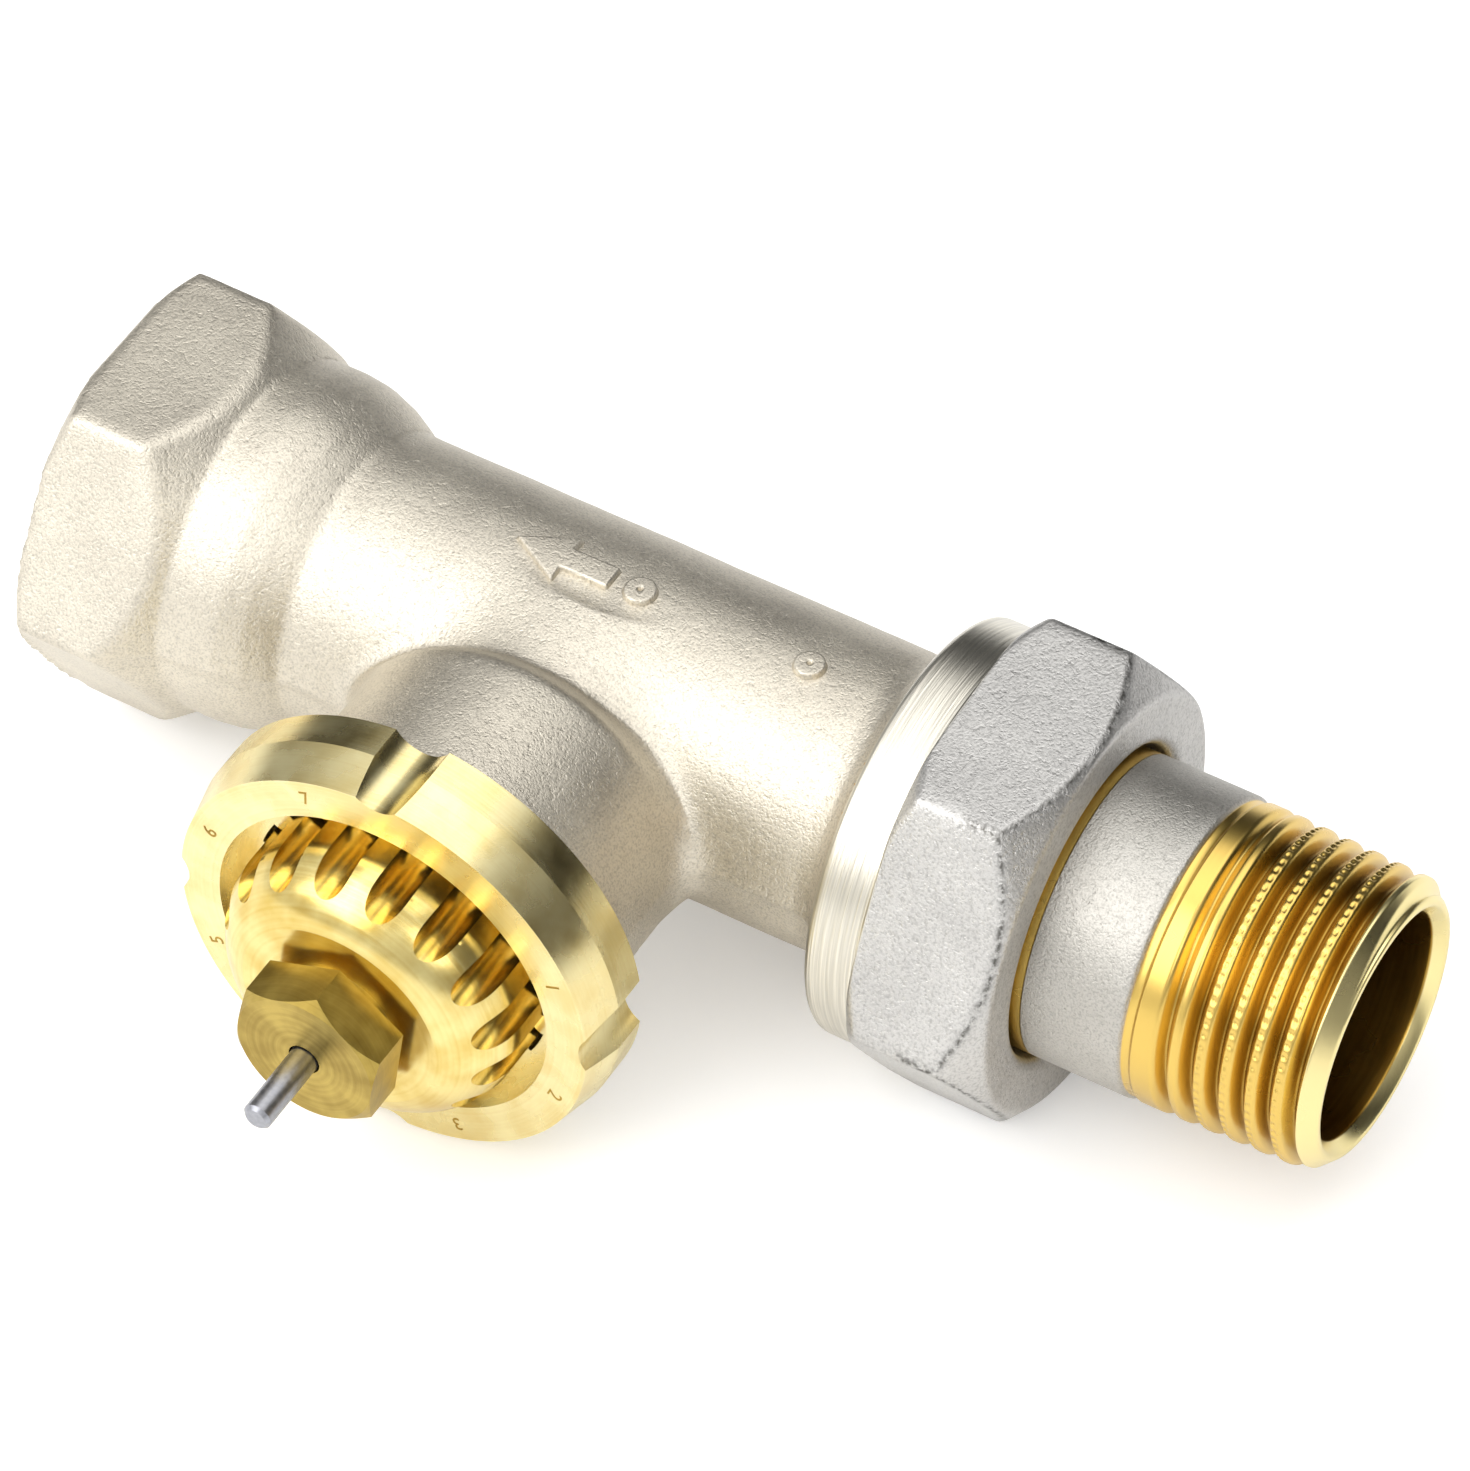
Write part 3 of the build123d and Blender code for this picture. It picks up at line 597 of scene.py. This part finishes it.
def tumbled_nickel():
    """Nickel tumbled with other nuts: frosty flats, dark chipped arcs along the back chamfer's edges and a
    skirt turned bright.
    """
    material = blasted_nickel("tumbled nickel", "#dfddd9", "#bcbab7", 0.2 * MM)
    tree = material.node_tree
    shader = tree.nodes["Principled BSDF"]
    bump = shader.inputs["Normal"].links[0].from_node
    place = add(tree, "ShaderNodeTexCoord").outputs["Object"]
    split = add(tree, "ShaderNodeSeparateXYZ", {"Vector": place})
    skirt = add(tree, "ShaderNodeMapRange", {
        "Value": split.outputs["X"], "From Min": 64.75 * MM, "From Max": 64.55 * MM,
    })
    drawn = add(tree, "ShaderNodeMapping", {
        "Vector": place, "Scale": (1 / (0.12 * MM), 1 / (9 * MM), 1 / (9 * MM)),
    })
    brush = add(tree, "ShaderNodeTexNoise", {
        "Vector": drawn.outputs["Vector"], "Scale": 1.0, "Detail": 3.0,
    })
    grain = bump.inputs["Height"].links[0].from_socket
    relief = add(tree, "ShaderNodeMix", {
        "Factor_Float": skirt.outputs["Result"], "A_Float": grain, "B_Float": brush.outputs["Fac"],
    })
    tree.links.new(relief.outputs[0], bump.inputs["Height"])
    plate = shader.inputs["Base Color"].links[0].from_socket
    line = add(tree, "ShaderNodeMapRange", {
        "Value": brush.outputs["Fac"], "From Min": 0.35, "From Max": 0.65, "To Min": 0.74, "To Max": 1.0,
    })
    bright = add(tree, "ShaderNodeMix", {
        "Factor_Float": 1.0, "A_Color": linear("#ebe6d8"), "B_Color": line.outputs["Result"],
    }, data_type="RGBA", blend_type="MULTIPLY")
    turned = add(tree, "ShaderNodeMix", {
        "Factor_Float": skirt.outputs["Result"], "A_Color": plate, "B_Color": bright.outputs[2],
    }, data_type="RGBA")
    tone_weight = add(tree, "ShaderNodeAttribute", attribute_name="dark_arcs")
    chips = add(tree, "ShaderNodeTexNoise", {
        "Vector": place, "Scale": 1 / (0.5 * MM), "Detail": 4.0, "Roughness": 0.7,
    })
    chip = add(tree, "ShaderNodeMapRange", {
        "Value": chips.outputs["Fac"], "From Min": 0.42, "From Max": 0.58,
    })
    chipped_dark_arcs = add(tree, "ShaderNodeMath", {
        "Value": tone_weight.outputs["Fac"], "Value_001": chip.outputs["Result"],
    }, operation="MULTIPLY")
    # Darkens the plate to #5c5a55 along the back chamfer's arcs, broken up by the chip noise.
    with_dark_arcs = add(tree, "ShaderNodeMix", {
        "Factor_Float": chipped_dark_arcs.outputs["Value"], "A_Color": turned.outputs[2], "B_Color": linear("#5c5a55"),
    }, data_type="RGBA")
    tree.links.new(with_dark_arcs.outputs[2], shader.inputs["Base Color"])
    satin = shader.inputs["Roughness"].links[0].from_socket
    gloss = add(tree, "ShaderNodeMix", {
        "Factor_Float": skirt.outputs["Result"], "A_Float": satin, "B_Float": 0.3,
    })
    tree.links.new(gloss.outputs[0], shader.inputs["Roughness"])
    return material


dress(union_nut, "nut", "nickel_plated_brass", tumbled_nickel(), "union_nut")

# Tailpiece: a brass turning, plated on its tube, with a tapered pipe thread cut bare on its
# end, fine notches rolled across four crests, a chamfered mouth and a drilled bore.
thread_start = 82.4 * MM
thread_crest = 10.5 * MM
thread_depth = 1.05 * MM
thread_taper = 1 / 32
notches = 81


def tail_radius(x, r, turn):
    """The tail's outside with the thread cut in it."""
    along = np.clip(x - thread_start, 0, None)
    phase = (along / thread_pitch - turn / (2 * math.pi) + 0.45) % 1
    valley = np.clip((np.abs(phase - 0.5) * 2 - 0.2) / 0.72, 0, 1)
    valley = valley * valley * (2.2 - 1.2 * valley)
    runout = np.clip((along - 0.9 * MM) / (1.2 * MM), 0, 1)
    cut = thread_crest - thread_taper * along - thread_depth * valley * runout
    crest = np.clip(1.4 - np.abs(phase - 0.46) / 0.09, 0, 1)
    window = (along > 3.6 * MM) & (along < 10.6 * MM)
    knurl = 0.14 * MM * crest * window * (0.5 + 0.5 * np.cos(notches * turn)) ** 2
    return np.where((r > 8.8 * MM) & (x > thread_start), np.minimum(r, cut - knurl), r)


tail_profile = np.array([
    (67.34, 7.9), (67.34, 9.0), (69.9, 11.5), (69.9, 12.7), (71.4, 12.7), (71.4, 10.55),
    (81.3, 10.55), (81.5, 10.25), (82.1, 10.25), (82.25, 10.45), (82.4, 10.45),
    (93.5, 10.45), (95.0, 8.95), (95.0, 8.6), (94.2, 7.9),
]) * MM
outline = filled(eased(tail_profile, 0.12 * MM, 3), 0.8 * MM)
fine = []
for a, b in zip(outline, np.roll(outline, -1, axis=0)):
    close = min(a[0], b[0]) > thread_start - 0.3 * MM and min(a[1], b[1]) > 8.7 * MM
    count = max(1, int(np.ceil(np.linalg.norm(b - a) / (0.12 * MM)))) if close else 1
    fine.extend(a + (b - a) * t for t in np.arange(count) / count)
tail = lathe("tail_skin", np.array(fine), 5 * notches, tail_radius)


def tail_finish():
    """Fine-grained nickel on the tube, amber brass on the thread and in the drilled bore, with painted shade
    darkening the brass towards the thread valleys and in the bore.
    """
    material = blasted_nickel("plated tail", "#d2cfc8", "#b4b0a8", 0.16 * MM)
    tree = material.node_tree
    shader = tree.nodes["Principled BSDF"]
    place = add(tree, "ShaderNodeTexCoord").outputs["Object"]
    split = add(tree, "ShaderNodeSeparateXYZ", {"Vector": place})
    cut = add(tree, "ShaderNodeMapRange", {
        "Value": split.outputs["X"], "From Min": 81.45 * MM, "From Max": 81.55 * MM,
    })
    across = add(tree, "ShaderNodeVectorMath", {
        "Vector": place, "Vector_001": (0, 1, 1),
    }, operation="MULTIPLY")
    radius = add(tree, "ShaderNodeVectorMath", {"Vector": across.outputs["Vector"]}, operation="LENGTH")
    bore = add(tree, "ShaderNodeMapRange", {
        "Value": radius.outputs["Value"], "From Min": 8.3 * MM, "From Max": 8.1 * MM,
    })
    mouth = add(tree, "ShaderNodeMapRange", {
        "Value": split.outputs["X"], "From Min": 74.4 * MM, "From Max": 74.3 * MM,
    })
    ends = add(tree, "ShaderNodeMath", {
        "Value": cut.outputs["Result"], "Value_001": mouth.outputs["Result"],
    }, operation="MAXIMUM")
    bare = add(tree, "ShaderNodeMath", {
        "Value": ends.outputs["Value"], "Value_001": bore.outputs["Result"],
    }, operation="MAXIMUM")
    # Painted shade: the brass grows darker as the radius gets smaller, so the thread valleys and the bore
    # are shaded and the crests stay pale. The drilled streaks laid over it are the metal's own.
    valley_shade = add(tree, "ShaderNodeMapRange", {
        "Value": radius.outputs["Value"], "From Min": 9.35 * MM, "From Max": 10.2 * MM,
    })
    drilled = add(tree, "ShaderNodeMapping", {
        "Vector": place, "Scale": (1 / (0.3 * MM), 1 / (5 * MM), 1 / (5 * MM)),
    })
    streak = add(tree, "ShaderNodeTexNoise", {
        "Vector": drilled.outputs["Vector"], "Scale": 1.0, "Detail": 3.0,
    })
    tone_weight = add(tree, "ShaderNodeMath", {
        "Value": streak.outputs["Fac"], "Value_001": 0.5, "Value_002": valley_shade.outputs["Result"],
    }, operation="MULTIPLY_ADD")
    # 8a641c is the painted shade of the valleys and the bore, and #e2c068 is the pale brass of the crests.
    brass = add(tree, "ShaderNodeMix", {
        "Factor_Float": tone_weight.outputs["Value"], "A_Color": linear("#8a641c"), "B_Color": linear("#e2c068"),
    }, data_type="RGBA")
    end_cut = add(tree, "ShaderNodeMapRange", {
        "Value": split.outputs["X"], "From Min": 93.45 * MM, "From Max": 93.55 * MM,
    })
    end_wall = add(tree, "ShaderNodeMapRange", {
        "Value": radius.outputs["Value"], "From Min": 7.93 * MM, "From Max": 7.98 * MM,
    })
    end_face = add(tree, "ShaderNodeMath", {
        "Value": end_cut.outputs["Result"], "Value_001": end_wall.outputs["Result"],
    }, operation="MULTIPLY")
    faced = add(tree, "ShaderNodeMix", {
        "Factor_Float": end_face.outputs["Value"], "A_Color": brass.outputs[2], "B_Color": linear("#f3e2a2"),
    }, data_type="RGBA")
    tone = shader.inputs["Base Color"].links[0].from_socket
    both = add(tree, "ShaderNodeMix", {
        "Factor_Float": bare.outputs["Value"], "A_Color": tone, "B_Color": faced.outputs[2],
    }, data_type="RGBA")
    tree.links.new(both.outputs[2], shader.inputs["Base Color"])
    satin = shader.inputs["Roughness"].links[0].from_socket
    smooth = add(tree, "ShaderNodeMapRange", {
        "Value": bare.outputs["Value"], "To Min": 1.0, "To Max": 0.6,
    })
    rough = add(tree, "ShaderNodeMath", {
        "Value": satin, "Value_001": smooth.outputs["Result"],
    }, operation="MULTIPLY")
    tree.links.new(rough.outputs["Value"], shader.inputs["Roughness"])
    bump = shader.inputs["Normal"].links[0].from_node
    grain = bump.inputs["Height"].links[0].from_socket
    lines = add(tree, "ShaderNodeMath", {
        "Value": streak.outputs["Fac"], "Value_001": 0.2,
    }, operation="MULTIPLY")
    relief = add(tree, "ShaderNodeMix", {
        "Factor_Float": bare.outputs["Value"], "A_Float": grain, "B_Float": lines.outputs["Value"],
    })
    tree.links.new(relief.outputs[0], bump.inputs["Height"])
    return material


dress(tail, "tail", "nickel_plated_brass", tail_finish(), "tailpiece")

# Stage: a white paper floor under the valve, a studio sky that is dark at the back, three
# soft lamps and the camera of the picture.
floor_level = -16.0 * MM
floor_span = 1.5
floor_mesh = bpy.data.meshes.new("floor")
corners = [(x * floor_span, y * floor_span, floor_level) for x, y in ((-1, -1), (1, -1), (1, 1), (-1, 1))]
floor_mesh.from_pydata(corners, [], [(0, 1, 2, 3)])
floor = bpy.data.objects.new("floor", floor_mesh)
bpy.context.scene.collection.objects.link(floor)
floor_paper = bpy.data.materials.new("white paper")
floor_paper.use_nodes = True
paper = floor_paper.node_tree
sheet = paper.nodes["Principled BSDF"].inputs
sheet["Base Color"].default_value = linear("#ffffff")
sheet["Roughness"].default_value = 0.9
sheet["Emission Color"].default_value = (1, 1, 1, 1)
seen = add(paper, "ShaderNodeLightPath").outputs["Is Camera Ray"]
lift = add(paper, "ShaderNodeMath", {"Value": seen, "Value_001": 0.25}, operation="MULTIPLY")
paper.links.new(lift.outputs["Value"], sheet["Emission Strength"])
floor_mesh.materials.append(floor_paper)

world = bpy.data.worlds.new("studio")
world.use_nodes = True
sky = world.node_tree
sky_place = add(sky, "ShaderNodeTexCoord").outputs["Generated"]
sky_side = add(sky, "ShaderNodeVectorMath", {
    "Vector": sky_place, "Vector_001": (-0.45, -0.5, 0.74),
}, operation="DOT_PRODUCT")
sky_light = add(sky, "ShaderNodeMapRange", {
    "Value": sky_side.outputs["Value"], "From Min": -0.2, "From Max": 0.8, "To Min": 0.18, "To Max": 0.85,
})
sky.nodes["Background"].inputs["Color"].default_value = (1, 1, 1, 1)
sky_split = add(sky, "ShaderNodeSeparateXYZ", {"Vector": sky_place})
sky_back = add(sky, "ShaderNodeMapRange", {
    "Value": sky_split.outputs["Y"], "From Min": 0.1, "From Max": 0.5,
})
sky_low = add(sky, "ShaderNodeMapRange", {
    "Value": sky_split.outputs["Z"], "From Min": 0.75, "From Max": 0.5,
})
sky_dark = add(sky, "ShaderNodeMath", {
    "Value": sky_back.outputs["Result"], "Value_001": sky_low.outputs["Result"],
}, operation="MULTIPLY")
sky_open = add(sky, "ShaderNodeMapRange", {
    "Value": sky_dark.outputs["Value"], "To Min": 1.0, "To Max": 0.05,
})
sky_strength = add(sky, "ShaderNodeMath", {
    "Value": sky_light.outputs["Result"], "Value_001": sky_open.outputs["Result"],
}, operation="MULTIPLY")
sky.links.new(sky_strength.outputs["Value"], sky.nodes["Background"].inputs["Strength"])
bpy.context.scene.world = world


def lamp(name, place, size, watts):
    """A soft square lamp that looks at the middle of the valve."""
    light = bpy.data.lights.new(name, "AREA")
    light.size = size
    light.energy = watts
    holder = bpy.data.objects.new(name, light)
    holder.location = place
    holder.rotation_euler = (Vector(aim) - Vector(place)).to_track_quat("-Z", "Y").to_euler()
    bpy.context.scene.collection.objects.link(holder)


aim = (46.5 * MM, 0.9 * MM, -0.3 * MM)
lamp("key", (-0.3, -0.5, 0.6), 0.8, 4.7)
lamp("fill", (0.45, -0.35, 0.4), 0.35, 0.8)
lamp("top", (0.1, 0.25, 0.9), 0.9, 3.0)

camera_azimuth = math.radians(30.55)
camera_elevation = math.radians(48.05)
camera_distance = 0.580
camera_roll = math.radians(0.09)
focal_pixels = 8852.7
frame_pixels = 1470
outward = Vector((
    math.sin(camera_azimuth) * math.cos(camera_elevation),
    -math.cos(camera_azimuth) * math.cos(camera_elevation),
    math.sin(camera_elevation),
))
lens = bpy.data.cameras.new("camera")
lens.sensor_width = 36.0
lens.lens = focal_pixels / frame_pixels * lens.sensor_width
lens.clip_start = 0.01
camera = bpy.data.objects.new("camera", lens)
camera.location = Vector(aim) + outward * camera_distance
camera.rotation_euler = outward.to_track_quat("Z", "Y").to_euler()
camera.rotation_euler.rotate_axis("Z", camera_roll)
bpy.context.scene.collection.objects.link(camera)
bpy.context.scene.camera = camera
bpy.context.scene.view_settings.view_transform = "Standard"
